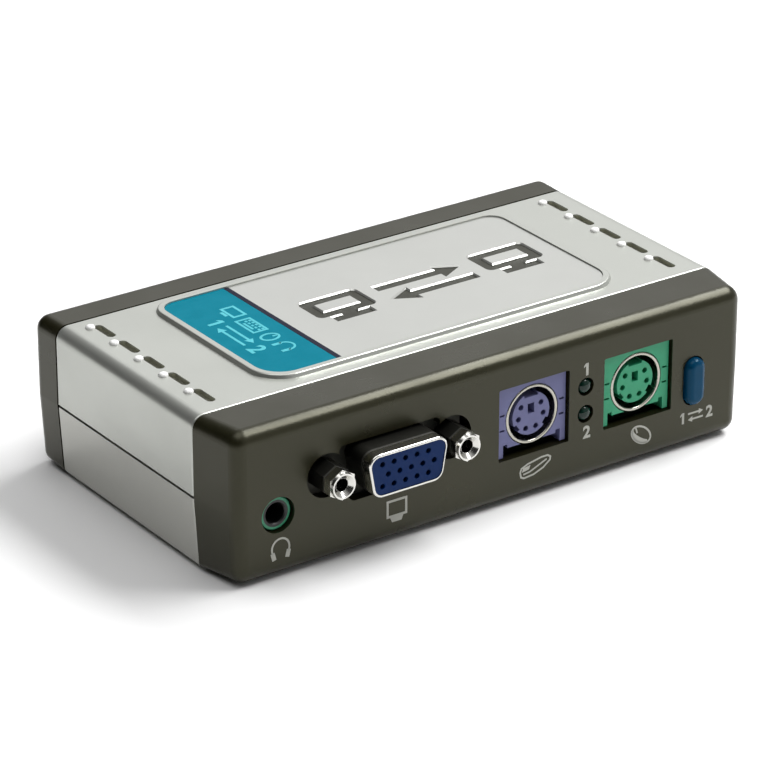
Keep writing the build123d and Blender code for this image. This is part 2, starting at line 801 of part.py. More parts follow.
# ---------------------------------------------------------------- mini-DIN sockets
def minidin_socket(x, prefix):
    """Write the three pieces of one mini-DIN socket behind its bezel window."""
    face = front_face(x, minidin_z).offset(-minidin_recess)
    low = minidin_base - minidin_z
    high = minidin_top - minidin_z
    board_low = board_top - minidin_z
    leg_x = minidin_width / 2 - minidin_foot / 2
    notch_x = minidin_width / 2 - minidin_foot - base_notch[0] / 2
    groove_range = 2 * core_groove_angle - 180

    with BuildPart() as body:
        with BuildSketch(face):
            with Locations((0, (high + low) / 2)):
                Rectangle(minidin_width, high - low)
            with Locations((-leg_x, (low + board_low) / 2), (leg_x, (low + board_low) / 2)):
                Rectangle(minidin_foot, low - board_low)
            with Locations((-notch_x, low), (notch_x, low)):
                Rectangle(*base_notch, mode=Mode.SUBTRACT)
        extrude(amount=-minidin_depth)
        with BuildSketch(face):
            Circle(ring_outer_radius + overlap)
        extrude(amount=-minidin_well_depth, mode=Mode.SUBTRACT)
        with BuildSketch(face.offset(-minidin_well_depth)):
            Circle(core_radius)
            with Locations((0, core_radius)):
                Rectangle(core_key_width, core_key_depth, mode=Mode.SUBTRACT)
            with PolarLocations(core_radius, 2, -core_groove_angle, groove_range, endpoint=True):
                Rectangle(*core_groove, mode=Mode.SUBTRACT)
        extrude(amount=minidin_well_depth - core_setback)
        with BuildSketch(face):
            with Locations(*pin_places):
                Circle(pin_hole_radius)
            with Locations((0, core_slot_rise)):
                Rectangle(*core_slot_size)
        extrude(amount=-minidin_depth, mode=Mode.SUBTRACT)
        with BuildSketch(face):
            with Locations(*face_slit_places):
                Rectangle(*face_slit)
        extrude(amount=-face_slit_depth, mode=Mode.SUBTRACT)
    keep(body, f"{prefix}_body")

    with BuildPart() as shield:
        with BuildSketch(face.offset(-minidin_well_depth)):
            Circle(ring_outer_radius)
            Circle(ring_inner_radius, mode=Mode.SUBTRACT)
        extrude(amount=minidin_well_depth + ring_proud)
        fillet(faces().sort_by(Axis.Y)[0].edges(), shield_edge_radius)
    keep(shield, f"{prefix}_shield")

    with BuildPart() as contacts:
        with BuildSketch(face.offset(-pin_setback)):
            with Locations(*pin_places):
                Circle(pin_hole_radius - overlap)
        extrude(amount=-minidin_depth + pin_tail_setback)
    keep(contacts, f"{prefix}_contacts")


minidin_socket(keyboard_x, "keyboard_socket")
minidin_socket(mouse_x, "mouse_socket")


# ---------------------------------------------------------------- audio sockets
def audio_socket(face, prefix):
    """Write the three pieces of one 3.5 mm audio socket behind its bezel hole."""
    leaf_x = audio_body_width / 2 - leaf_slot[0] / 2
    leaf_places = ((-leaf_x, 0), (leaf_x, 0))
    slot_face = face.offset(-audio_body_front - leaf_setback)

    with BuildPart() as body:
        with BuildSketch(face.offset(-audio_body_front)):
            Rectangle(audio_body_width, audio_body_height)
            Circle(audio_bore_radius, mode=Mode.SUBTRACT)
        extrude(amount=-audio_body_depth)
        with BuildSketch(face.offset(-audio_body_front - audio_body_depth)):
            Rectangle(audio_body_width, audio_body_height)
        extrude(amount=-audio_back_thickness)
        with BuildSketch(slot_face):
            with Locations(*leaf_places):
                Rectangle(leaf_slot[0], leaf_slot[1])
        extrude(amount=-leaf_slot[2], mode=Mode.SUBTRACT)
    keep(body, f"{prefix}_body")

    with BuildPart() as ring:
        with BuildSketch(face.offset(-audio_body_front)):
            Circle(audio_ring_radius)
            Circle(audio_bore_radius, mode=Mode.SUBTRACT)
        extrude(amount=audio_body_front - audio_recess)
        outer_face = faces().sort_by(Axis.Y)[0 if face.z_dir.Y < 0 else -1]
        chamfer(outer_face.edges(), audio_ring_chamfer)
    keep(ring, f"{prefix}_ring")

    with BuildPart() as contacts:
        with BuildSketch(slot_face.offset(-2 * overlap)):
            with Locations(*leaf_places):
                Rectangle(leaf_size[0], leaf_size[1])
        extrude(amount=-leaf_size[2])
    keep(contacts, f"{prefix}_contacts")


audio_socket(front_face(headphone_x, audio_z), "headphone_socket")
audio_socket(rear_face(-computer_audio_x, audio_z), "computer_1_audio")
audio_socket(rear_face(computer_audio_x, audio_z), "computer_2_audio")

# ---------------------------------------------------------------- port lamps
lamp_face = front_face(lamp_x, lamp_low_z)
lamp_spots = ((0, 0), (0, lamp_pitch))

with BuildPart() as lamp_holder:
    holder_top = lamp_low_z + lamp_pitch + lamp_holder_width / 2
    with BuildSketch(front_face(lamp_x, (board_top + holder_top) / 2).offset(-bezel_wall - edge_break)):
        Rectangle(lamp_holder_width, holder_top - board_top)
    extrude(amount=-lamp_holder_depth)
    with BuildSketch(lamp_face):
        with Locations(*lamp_spots):
            Circle(lamp_radius + screw_clearance)
    extrude(amount=-2 * lamp_length, mode=Mode.SUBTRACT)
keep(lamp_holder, "lamp_holder")


def port_lamp(z, node_name):
    """Write one round lamp lens with a domed tip."""
    with BuildPart() as lens:
        with BuildSketch(front_face(lamp_x, z).offset(lamp_proud)):
            Circle(lamp_radius)
        extrude(amount=-lamp_length)
        fillet(edges().group_by(Axis.Y)[0], lamp_radius - overlap)
    keep(lens, node_name)


port_lamp(lamp_low_z + lamp_pitch, "port_lamp_1")
port_lamp(lamp_low_z, "port_lamp_2")

with BuildPart() as lamp_leads:
    lead_y = front_y - lamp_proud + lamp_length
    for lead_z in (lamp_low_z, lamp_low_z + lamp_pitch):
        lead_reach = lamp_lead_reach + (lead_z - lamp_low_z) * lamp_lead_slant
        lead_top = lead_z + lamp_lead_size / 2
        for lead_x in (lamp_x - lamp_lead_spacing / 2, lamp_x + lamp_lead_spacing / 2):
            with Locations((lead_x, lead_y + lead_reach / 2, lead_z)):
                Box(lamp_lead_size, lead_reach, lamp_lead_size)
            with Locations((lead_x, lead_y + lead_reach, (lead_top + board_top) / 2)):
                Box(lamp_lead_size, lamp_lead_size, lead_top - board_top)
keep(lamp_leads, "lamp_leads")

# ---------------------------------------------------------------- select button and its switch
button_face = front_face(button_x, button_z)
flange_front = bezel_wall + overlap
stem_front = flange_front + 1.0
plunger_front = switch_front - plunger_proud

with BuildPart() as select_button:
    with BuildSketch(button_face.offset(button_proud)):
        SlotOverall(button_height, button_width, rotation=90)
    extrude(amount=-button_proud - flange_front)
    fillet(faces().sort_by(Axis.Y)[0].edges(), button_edge_radius)
    with BuildSketch(button_face.offset(-flange_front)):
        SlotOverall(button_height + 2 * button_flange, button_width + 2 * button_flange, rotation=90)
    extrude(amount=flange_front - stem_front)
    with BuildSketch(button_face.offset(-stem_front)):
        Circle(button_stem_radius)
    extrude(amount=stem_front - plunger_front)
keep(select_button, "select_button")

with BuildPart() as switch_plunger:
    with BuildSketch(button_face.offset(-plunger_front)):
        Circle(plunger_radius)
    extrude(amount=-plunger_proud - plunger_root)
keep(switch_plunger, "switch_plunger")

with BuildPart() as switch_body:
    switch_top = button_z + switch_size / 2
    with BuildSketch(front_face(button_x, (board_top + switch_top) / 2).offset(-switch_front)):
        Rectangle(switch_size, switch_top - board_top)
    extrude(amount=-switch_depth)
    with BuildSketch(button_face.offset(-switch_front)):
        Circle(plunger_radius + 2 * overlap)
    extrude(amount=-plunger_root - button_travel - plunger_clearance, mode=Mode.SUBTRACT)
keep(switch_body, "switch_body")

with BuildPart() as switch_frame:
    with BuildSketch(button_face.offset(-switch_front)):
        Rectangle(switch_size + 2 * switch_cover_thickness, switch_size)
        Circle(plunger_radius + plunger_clearance, mode=Mode.SUBTRACT)
    extrude(amount=switch_cover_thickness)
    with BuildSketch(button_face.offset(-switch_front)):
        side_x = (switch_size + switch_cover_thickness) / 2
        with Locations((-side_x, 0), (side_x, 0)):
            Rectangle(switch_cover_thickness, switch_size)
    extrude(amount=-switch_depth)
keep(switch_frame, "switch_frame")

# ---------------------------------------------------------------- parts on the board
with BuildPart() as switch_controller:
    with BuildSketch(level(board_top + chip_stand_off)):
        with Locations(controller_place):
            RectangleRounded(controller_size, controller_size, controller_corner_radius)
    extrude(amount=chip_thickness)
    chamfer(edges().group_by(Axis.Z)[-1], chip_edge)
keep(switch_controller, "switch_controller")

with BuildPart() as controller_leads:
    lead_span = controller_size + lead_length
    with BuildSketch(level(board_top)):
        with Locations(controller_place):
            with GridLocations(lead_span, controller_lead_pitch, 2, controller_side_leads):
                Rectangle(lead_length, controller_lead_width)
            with GridLocations(controller_lead_pitch, lead_span, controller_side_leads, 2):
                Rectangle(controller_lead_width, lead_length)
    extrude(amount=lead_thickness)
keep(controller_leads, "controller_leads")

with BuildPart() as video_switch_chips:
    with BuildSketch(level(board_top + chip_stand_off)):
        with Locations(*video_chip_places):
            Rectangle(*video_chip_size)
    extrude(amount=chip_thickness)
    chamfer(edges().group_by(Axis.Z)[-1], chip_edge)
keep(video_switch_chips, "video_switch_chips")

with BuildPart() as video_chip_leads:
    with BuildSketch(level(board_top)):
        with Locations(*video_chip_places):
            with GridLocations(video_lead_pitch, video_chip_size[1] + lead_length, video_side_leads, 2):
                Rectangle(video_lead_width, lead_length)
    extrude(amount=lead_thickness)
keep(video_chip_leads, "video_chip_leads")

with BuildPart() as crystal:
    with BuildSketch(level(board_top)):
        with Locations(crystal_place):
            SlotOverall(crystal_base[0], crystal_base[1])
    extrude(amount=crystal_base[2])
    with BuildSketch(level(board_top + crystal_base[2])):
        with Locations(crystal_place):
            SlotOverall(crystal_can[0], crystal_can[1])
    extrude(amount=crystal_can[2])
    fillet(edges().group_by(Axis.Z)[-1], can_edge_radius)
keep(crystal, "crystal")

with BuildPart() as capacitors:
    with BuildSketch(level(board_top)):
        with Locations(*capacitor_places):
            Circle(capacitor_radius)
    extrude(amount=capacitor_height)
    fillet(edges().group_by(Axis.Z)[-1], can_edge_radius)
keep(capacitors, "capacitors")

with BuildPart() as chip_resistors:
    with BuildSketch(level(board_top)):
        with Locations(resistor_place):
            with GridLocations(resistor_pitch[0], resistor_pitch[1], 4, 4):
                Rectangle(resistor_size[0], resistor_size[1])
    extrude(amount=resistor_size[2])
keep(chip_resistors, "chip_resistors")

with BuildPart() as buzzer:
    with BuildSketch(level(board_top)):
        with Locations(buzzer_place):
            Circle(buzzer_radius)
    extrude(amount=buzzer_height)
    fillet(edges().group_by(Axis.Z)[-1], can_edge_radius)
    with BuildSketch(level(board_top + buzzer_height)):
        with Locations(buzzer_place):
            Circle(buzzer_hole_radius)
    extrude(amount=-2.0, mode=Mode.SUBTRACT)
keep(buzzer, "buzzer")
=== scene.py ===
"""Looks of the two-computer KVM switch: materials, printed marks, light and camera."""
import json
import math

import bmesh
import bpy
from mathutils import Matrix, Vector


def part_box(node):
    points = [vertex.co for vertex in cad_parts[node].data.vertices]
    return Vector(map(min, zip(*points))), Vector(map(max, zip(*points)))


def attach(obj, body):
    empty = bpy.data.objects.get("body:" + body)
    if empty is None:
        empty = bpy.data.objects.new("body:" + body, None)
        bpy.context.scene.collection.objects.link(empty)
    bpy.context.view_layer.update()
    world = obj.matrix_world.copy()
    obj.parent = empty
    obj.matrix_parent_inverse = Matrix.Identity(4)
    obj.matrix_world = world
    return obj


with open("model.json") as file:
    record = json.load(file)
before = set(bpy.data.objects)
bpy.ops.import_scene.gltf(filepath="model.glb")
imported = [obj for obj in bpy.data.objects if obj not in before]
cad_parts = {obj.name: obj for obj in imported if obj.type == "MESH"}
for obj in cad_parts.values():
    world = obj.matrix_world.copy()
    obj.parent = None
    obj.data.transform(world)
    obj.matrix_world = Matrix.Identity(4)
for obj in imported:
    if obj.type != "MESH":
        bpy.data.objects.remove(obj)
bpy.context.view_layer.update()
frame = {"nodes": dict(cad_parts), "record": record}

nodes = frame["nodes"]
MM = 0.001

# Places, sizes and counts given here, in mm
EDGE_BLUR = 0.1
# Vent slots, with painted shade inside them and white beads standing for painted highlights at their ends
VENT_FLOOR = 27.75
VENT_OUTER_X = 50.6
VENT_X = 47.6
VENT_FIRST_Y = 17.05
VENT_PITCH = 7.7
VENT_COUNT = 5
BEAD_OFFSET = (-1.35, 2.5)
BEAD_PROFILE = ((0.84, -0.3), (0.84, 0.15), (0.7, 0.4), (0.4, 0.54))
BEAD_SIDES = 20
AUDIO_LIP_RADIUS = 2.4
# Distance from the middle of the case where the painted shade on the jackscrews and socket shells ends, and
# the softness of that edge
JACKSCREW_SHADE_EDGE = 32.6
SHELL_SHADE_EDGE = 33.2
RECESS_SHADE_BLUR = 0.7
PRINT_LIFT = 0.02
LABEL_MARGIN = (8.9, 6.95)
STRIP_HALF_WIDTH = 0.5
STRIP_INSET = 0.1

# Height of a figure as a share of the font size, and its added weight as a share of its height
FONT_CAP_HEIGHT = 0.7
DIGIT_WEIGHT = 0.045

# Places read from the frame, in metres
bezel_low, bezel_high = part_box("front_bezel")
label_low, label_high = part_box("teal_label")
divider_low, divider_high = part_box("label_divider")
front_y = bezel_low.y
cover_top = bezel_high.z
label_x = label_low.x + LABEL_MARGIN[0] * MM
label_y = label_high.y - LABEL_MARGIN[1] * MM


# ---------------------------------------------------------------- node helpers
def srgb(red, green, blue):
    """Linear colour from 0-255 display values."""
    def channel(value):
        value /= 255
        return value / 12.92 if value <= 0.04045 else ((value + 0.055) / 1.055) ** 2.4
    return (channel(red), channel(green), channel(blue), 1.0)


class Shader:
    """A Principled material with short calls for the procedural nodes that it needs."""

    def __init__(self, name, color, roughness=0.5, metallic=0.0, **sockets):
        self.material = bpy.data.materials.new(name)
        self.material.use_nodes = True
        self.tree = self.material.node_tree
        self.bsdf = self.tree.nodes["Principled BSDF"]
        self.color = color
        self.roughness = roughness
        self.bsdf.inputs["Base Color"].default_value = color
        self.bsdf.inputs["Roughness"].default_value = roughness
        self.bsdf.inputs["Metallic"].default_value = metallic
        for socket, value in sockets.items():
            self.bsdf.inputs[socket.replace("_", " ")].default_value = value
        self.place = self.node("ShaderNodeTexCoord").outputs["Object"]
        self.normal = None

    def node(self, kind, **settings):
        made = self.tree.nodes.new(kind)
        for name, value in settings.items():
            setattr(made, name, value)
        return made

    def link(self, output, socket):
        self.tree.links.new(output, socket)

    def noise(self, scale, detail=3.0, stretch=(1, 1, 1)):
        """Noise in object space; scale is features per metre."""
        mapping = self.node("ShaderNodeMapping")
        mapping.inputs["Scale"].default_value = stretch
        self.link(self.place, mapping.inputs["Vector"])
        texture = self.node("ShaderNodeTexNoise")
        texture.inputs["Scale"].default_value = scale
        texture.inputs["Detail"].default_value = detail
        self.link(mapping.outputs["Vector"], texture.inputs["Vector"])
        return texture.outputs["Fac"]

    def ramp(self, value, low, high, from_low=0.35, from_high=0.65):
        """Map a 0-1 value to a range of numbers."""
        mapped = self.node("ShaderNodeMapRange")
        mapped.inputs["From Min"].default_value = from_low
        mapped.inputs["From Max"].default_value = from_high
        mapped.inputs["To Min"].default_value = low
        mapped.inputs["To Max"].default_value = high
        self.link(value, mapped.inputs["Value"])
        return mapped.outputs["Result"]

    def axis(self, name):
        """One coordinate in object space, in metres."""
        if not hasattr(self, "axes"):
            self.axes = self.node("ShaderNodeSeparateXYZ")
            self.link(self.place, self.axes.inputs["Vector"])
        return self.axes.outputs[name]

    def math(self, operation, first, second=0.0):
        """A math node whose inputs are sockets or numbers."""
        made = self.node("ShaderNodeMath", operation=operation)
        for socket, value in zip(made.inputs, (first, second)):
            if isinstance(value, (int, float)):
                socket.default_value = value
            else:
                self.link(value, socket)
        return made.outputs["Value"]

    def step(self, value, edge, soft, rising=True):
        """0-1 mask that crosses over at an edge, over a soft width, both in metres."""
        low, high = (0.0, 1.0) if rising else (1.0, 0.0)
        return self.ramp(value, low, high, edge - soft / 2, edge + soft / 2)

    def round_mask(self, centre_x, centre_z, radius, soft):
        """1 outside a circle about an axis that runs along Y."""
        off_x = self.math("SUBTRACT", self.axis("X"), centre_x)
        off_z = self.math("SUBTRACT", self.axis("Z"), centre_z)
        squares = self.math("ADD", self.math("MULTIPLY", off_x, off_x), self.math("MULTIPLY", off_z, off_z))
        return self.step(self.math("SQRT", squares), radius, soft)

    def tint(self, factor, other):
        """Mix the base colour towards another by a factor."""
        mix = self.node("ShaderNodeMix", data_type="RGBA")
        self.link(factor, mix.inputs["Factor"])
        base = self.bsdf.inputs["Base Color"]
        if base.is_linked:
            self.link(base.links[0].from_socket, mix.inputs["A"])
        else:
            mix.inputs["A"].default_value = base.default_value
        mix.inputs["B"].default_value = other
        self.link(mix.outputs["Result"], base)

    def vary(self, scale, spread, rough_spread=0.0):
        """Gentle cloudiness of colour and roughness."""
        cloud = self.noise(scale)
        darker = tuple(channel * (1 - spread) for channel in self.color[:3]) + (1.0,)
        self.tint(self.ramp(cloud, 0.0, 1.0), darker)
        if rough_spread:
            self.link(
                self.ramp(cloud, self.roughness - rough_spread, self.roughness + rough_spread),
                self.bsdf.inputs["Roughness"],
            )

    def bump(self, height, distance, strength=1.0):
        """Stack a bump on the surface; distance in metres."""
        bump = self.node("ShaderNodeBump")
        bump.inputs["Strength"].default_value = strength
        bump.inputs["Distance"].default_value = distance
        self.link(height, bump.inputs["Height"])
        if self.normal is not None:
            self.link(self.normal, bump.inputs["Normal"])
        self.normal = bump.outputs["Normal"]
        self.link(self.normal, self.bsdf.inputs["Normal"])

    def grain(self, scale, distance, strength=0.4, stretch=(1, 1, 1)):
        self.bump(self.noise(scale, 2.0, stretch), distance, strength)


# ---------------------------------------------------------------- materials
def silver_paint(name, color, vents=False):
    """Fine metallic paint; painted shade makes it a little darker inside the vent slots."""
    shade = Shader(name, color, 0.34, 0.7)
    shade.vary(60, 0.03, 0.03)
    if vents:
        off_centre = shade.math("ABSOLUTE", shade.axis("X"))
        # Painted shade: the walls and floors of the vent slots are tinted darker, where shade falls in them.
        inside = shade.step(shade.axis("Z"), VENT_FLOOR * MM, EDGE_BLUR * MM, rising=False)
        between = shade.step(off_centre, VENT_OUTER_X * MM, EDGE_BLUR * MM, rising=False)
        shade.tint(shade.math("MULTIPLY", inside, between), srgb(165, 165, 152))
    shade.grain(9000, 0.00002, 0.2)
    return shade.material


def bezel_plastic():
    """Dark grey-brown plastic with a warm sheen."""
    warm = (1.0, 0.98, 0.76, 1.0)
    shade = Shader("bezel_plastic", srgb(27, 26, 12), 0.3, Specular_IOR_Level=0.44, Specular_Tint=warm)
    shade.vary(80, 0.05, 0.03)
    shade.grain(6000, 0.00002, 0.3)
    return shade.material


def plain_plastic(name, color, roughness=0.4, **sockets):
    """Moulded plastic, rubber, lacquer or print in one colour."""
    shade = Shader(name, color, roughness, **sockets)
    shade.vary(300, 0.06, 0.03)
    shade.grain(5000, 0.00001, 0.2)
    return shade.material


def bright_metal(name, color, roughness):
    """Bare or plated metal with slight handling marks."""
    shade = Shader(name, color, roughness, 1.0)
    shade.vary(500, 0.08, roughness * 0.3)
    shade.grain(4000, 0.00001, 0.15)
    return shade.material


def recess_shaded_metal(name, color, roughness, shade_edge):
    """Bright metal with painted shade: dull and dark nearer the middle of the case than a given distance,
    deep in the socket recesses.
    """
    shade = Shader(name, color, roughness, 1.0)
    off_centre = shade.math("ABSOLUTE", shade.axis("Y"))
    # Painted shade: the metal deep in the socket recesses is tinted dark and made dull, where shade falls.
    recess_shade = shade.step(off_centre, shade_edge * MM, RECESS_SHADE_BLUR * MM, rising=False)
    shade.tint(recess_shade, srgb(52, 52, 48))
    shade.link(shade.ramp(recess_shade, roughness, 0.5, 0.0, 1.0), shade.bsdf.inputs["Roughness"])
    shade.grain(4000, 0.00001, 0.15)
    return shade.material


def audio_ring(name, node):
    """Black ring with a green lip round its outside."""
    centre = sum(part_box(node), Vector()) / 2
    shade = Shader(name, srgb(10, 10, 10), 0.4)
    lip = shade.round_mask(centre.x, centre.z, AUDIO_LIP_RADIUS * MM, EDGE_BLUR * MM)
    shade.tint(lip, srgb(36, 128, 92))
    shade.grain(5000, 0.00001, 0.2)
    return shade.material


BARE_STEEL = srgb(214, 213, 208)
BLUE_SHEEN = {"Specular_IOR_Level": 0.2, "Specular_Tint": (0.5, 0.85, 1.0, 1.0)}
SLOTS = {
    "silver_cover": silver_paint("silver_cover", srgb(187, 189, 183), vents=True),
    # A little darker than the top cover: painted shade for the sides of the case
    "silver_cover_lower": silver_paint("silver_cover_lower", srgb(184, 184, 178)),
    "silver_panel": silver_paint("silver_panel", srgb(192, 193, 189)),
    "emblem_dark": plain_plastic("emblem_dark", srgb(54, 54, 46), 0.5, Specular_IOR_Level=0.3),
    "bezel_plastic": bezel_plastic(),
    "teal_label": plain_plastic("teal_label", srgb(0, 118, 138), 0.42, Specular_IOR_Level=0.03),
    "divider_navy": plain_plastic("divider_navy", srgb(14, 16, 40), 0.4, Specular_IOR_Level=0.1),
    "foot_rubber": plain_plastic("foot_rubber", srgb(35, 35, 35), 0.8),
    "screw_steel": bright_metal("screw_steel", srgb(170, 170, 172), 0.3),
    # Very dark solder mask: painted shade for the board seen inside the case
    "board_green": plain_plastic("board_green", srgb(8, 26, 16), 0.5),
    "keyboard_purple": plain_plastic("keyboard_purple", srgb(98, 100, 140), 0.4, Specular_IOR_Level=0.35),
    "mouse_green": plain_plastic("mouse_green", srgb(44, 146, 106), 0.4, Specular_IOR_Level=0.35),
    "audio_green": audio_ring("audio_green", "headphone_socket_ring"),
    "black_plastic": plain_plastic("black_plastic", srgb(14, 14, 14), 0.45),
    "lamp_lens": plain_plastic("lamp_lens", srgb(4, 34, 25), 0.12, Specular_IOR_Level=0.35),
    "contact_gold": bright_metal("contact_gold", srgb(120, 96, 48), 0.3),
    "button_blue": plain_plastic("button_blue", srgb(2, 56, 86), 0.16, **BLUE_SHEEN),
    "plated_steel": bright_metal("plated_steel", srgb(178, 176, 166), 0.22),
    # Jackscrews with painted shade deep in the socket recesses
    "jackscrew_steel": recess_shaded_metal("jackscrew_steel", BARE_STEEL, 0.18, JACKSCREW_SHADE_EDGE),
    "vga_blue": plain_plastic("vga_blue", srgb(2, 36, 84), 0.4, Specular_IOR_Level=0.12),
    "chip_black": plain_plastic("chip_black", srgb(28, 28, 28), 0.6),
    "solder_tin": bright_metal("solder_tin", srgb(190, 190, 192), 0.3),
    "capacitor_sleeve": plain_plastic("capacitor_sleeve", srgb(30, 40, 90), 0.25),
}
# Socket shells with painted shade deep in the socket recesses
shaded_shell_metal = recess_shaded_metal("shaded_shell_metal", BARE_STEEL, 0.2, SHELL_SHADE_EDGE)
NODE_MATERIALS = {
    "computer_1_audio_ring": audio_ring("computer_1_audio_green", "computer_1_audio_ring"),
    "computer_2_audio_ring": audio_ring("computer_2_audio_green", "computer_2_audio_ring"),
    "monitor_socket_shell": shaded_shell_metal,
    "computer_1_socket_shell": shaded_shell_metal,
    "computer_2_socket_shell": shaded_shell_metal,
}
for part in frame["record"]["subparts"]:
    mesh = nodes[part["node"]].data
    mesh.materials.clear()
    mesh.materials.append(NODE_MATERIALS.get(part["node"], SLOTS[part["material_slot"]]))

print_grey = plain_plastic("print_grey", srgb(168, 168, 160), 0.5)
print_teal = plain_plastic("print_teal", srgb(84, 186, 198), 0.45, Specular_IOR_Level=0.1)
# Near-white paint for the painted highlights at the vent slot ends
vent_glint_white = plain_plastic("vent_glint_white", srgb(250, 250, 248), 0.3)


# ---------------------------------------------------------------- printed marks
def on_front(u, v, lift):
    """Point on the console side: u to the right, v up, in mm."""
    return (u * MM, front_y - lift * MM, v * MM)


def on_label(u, v, lift):
    """Point on the teal label: u along the reading direction, v up its letters, in mm."""
    return (label_x + v * MM, label_y - u * MM, label_high.z + lift * MM)


def ribbon(points, width, closed=False):
    """Quads of one even line through 2-D points, with mitred corners."""
    count = len(points)
    sides = []
    for index, point in enumerate(points):
        before = points[index - 1] if closed or index else None
        after = points[(index + 1) % count] if closed or index < count - 1 else None
        normals = []
        for start, end in ((before, point), (point, after)):
            if start is not None and end is not None:
                along = Vector(end) - Vector(start)
                normals.append(Vector((-along.y, along.x)).normalized())
        normal = sum(normals, Vector((0, 0))).normalized()
        reach = width / 2 / max(normal.dot(normals[0]), 0.5)
        sides.append((Vector(point) + normal * reach, Vector(point) - normal * reach))
    pairs = list(zip(sides, sides[1:] + sides[:1])) if closed else list(zip(sides, sides[1:]))
    return [(one[0], one[1], two[1], two[0]) for one, two in pairs]


def arc(cx, cy, rx, ry, start, end, steps=24, turn=0.0):
    """Points of an elliptic arc, angles in degrees."""
    lean = math.radians(turn)
    points = []
    for index in range(steps + 1):
        angle = math.radians(start + (end - start) * index / steps)
        x, y = rx * math.cos(angle), ry * math.sin(angle)
        across = x * math.cos(lean) - y * math.sin(lean)
        up = x * math.sin(lean) + y * math.cos(lean)
        points.append((cx + across, cy + up))
    return points


def ring(cx, cy, rx, ry, width, turn=0.0):
    """Closed elliptic line."""
    return ribbon(arc(cx, cy, rx, ry, 0, 360, 32, turn)[:-1], width, closed=True)


def block(x0, y0, x1, y1):
    """Filled rectangle between two corners."""
    return [[(x0, y0), (x1, y0), (x1, y1), (x0, y1)]]


def frame_box(x0, y0, x1, y1, width):
    """Rectangle drawn as a closed line."""
    return ribbon([(x0, y0), (x1, y0), (x1, y1), (x0, y1)], width, closed=True)


def arrows(x0, x1, y, pitch, width, head):
    """Two opposed arrows one above the other."""
    shapes = []
    for way, line_y in ((1, y + pitch / 2), (-1, y - pitch / 2)):
        tail, tip = (x0, x1) if way > 0 else (x1, x0)
        neck = tip - way * head
        barb = head * 0.55
        shapes += ribbon([(tail, line_y), (neck, line_y)], width)
        shapes.append([(neck, line_y - barb), (tip, line_y), (neck, line_y + barb)])
    return shapes


def one(x, y, height):
    """Bold figure 1 with a flag, from its foot upwards."""
    half = height * 0.11
    flag_x = x - height * 0.3
    flag = [
        (x - half, y + height),
        (flag_x, y + height * 0.82),
        (flag_x, y + height * 0.66),
        (x - half, y + height * 0.78),
    ]
    return block(x - half, y, x + half, y + height) + [flag]


def digit(text, x, y, height):
    """Shapes of one plain digit, from the built-in font."""
    curve = bpy.data.curves.new("digit", "FONT")
    curve.body = text
    curve.align_x = "CENTER"
    curve.size = height / FONT_CAP_HEIGHT
    curve.offset = height * DIGIT_WEIGHT
    curve.resolution_u = 4
    carrier = bpy.data.objects.new("digit", curve)
    bpy.context.scene.collection.objects.link(carrier)
    bpy.context.view_layer.update()
    flat = bpy.data.meshes.new_from_object(carrier)
    corners = [(x + vertex.co.x, y + vertex.co.y) for vertex in flat.vertices]
    shapes = [[corners[index] for index in face.vertices] for face in flat.polygons]
    bpy.data.objects.remove(carrier)
    bpy.data.curves.remove(curve)
    bpy.data.meshes.remove(flat)
    return shapes


def print_mark(name, shapes, place, material):
    """A thin printed layer of flat shapes on a face of the case."""
    made = bmesh.new()
    for shape in shapes:
        top = [made.verts.new(place(u, v, PRINT_LIFT)) for u, v in shape]
        low = [made.verts.new(place(u, v, -PRINT_LIFT)) for u, v in shape]
        made.faces.new(top)
        for index in range(len(top)):
            after = (index + 1) % len(top)
            made.faces.new((top[index], top[after], low[after], low[index]))
    bmesh.ops.remove_doubles(made, verts=made.verts, dist=1e-7)
    bmesh.ops.recalc_face_normals(made, faces=made.faces)
    mesh = bpy.data.meshes.new(name)
    made.to_mesh(mesh)
    made.free()
    mesh.materials.append(material)
    mark = bpy.data.objects.new(name, mesh)
    bpy.context.scene.collection.objects.link(mark)
    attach(mark, "case")


headphone_mark = ribbon(arc(-43.7, 5.75, 1.7, 1.75, -25, 205), 0.34)
headphone_mark += ribbon([(-45.3, 5.15), (-44.95, 3.8)], 0.8)
headphone_mark += ribbon([(-42.1, 5.15), (-42.45, 3.8)], 0.8)
print_mark("headphone_mark", headphone_mark, on_front, print_grey)

monitor_mark = frame_box(-22.5, 5.1, -18.75, 7.9, 0.42)
monitor_mark += [[(-22.0, 4.95), (-21.6, 4.0), (-19.7, 4.0), (-19.3, 4.95)]]
print_mark("monitor_mark", monitor_mark, on_front, print_grey)

keyboard_outline = [
    (4.75, 5.6), (5.0, 6.3), (6.3, 6.85), (9.2, 7.4), (10.5, 7.4), (11.1, 7.0),
    (11.0, 6.4), (9.6, 5.35), (7.6, 4.6), (5.6, 4.4), (4.95, 4.7),
]
keyboard_mark = ribbon(keyboard_outline, 0.32, closed=True)
keyboard_mark += ribbon([(5.4, 5.1), (6.8, 5.3), (10.3, 6.75)], 0.3)
keyboard_mark += [[(5.1, 5.55), (6.6, 5.8), (6.9, 6.55), (5.4, 6.3)]]
print_mark("keyboard_mark", keyboard_mark, on_front, print_grey)

mouse_mark = ring(30.6, 5.65, 2.35, 1.4, 0.34, -36)
mouse_mark += [arc(30.6, 5.65, 2.3, 1.35, 175, 335, 16, -36) + arc(30.6, 5.65, 2.0, 0.45, 335, 175, 16, -36)]
mouse_mark += ribbon([(29.4, 7.3), (29.75, 6.2)], 0.3)
print_mark("mouse_mark", mouse_mark, on_front, print_grey)

print_mark("lamp_mark_1", one(18.6, 20.1, 2.3), on_front, print_grey)
print_mark("lamp_mark_2", digit("2", 18.75, 8.4, 2.2), on_front, print_grey)

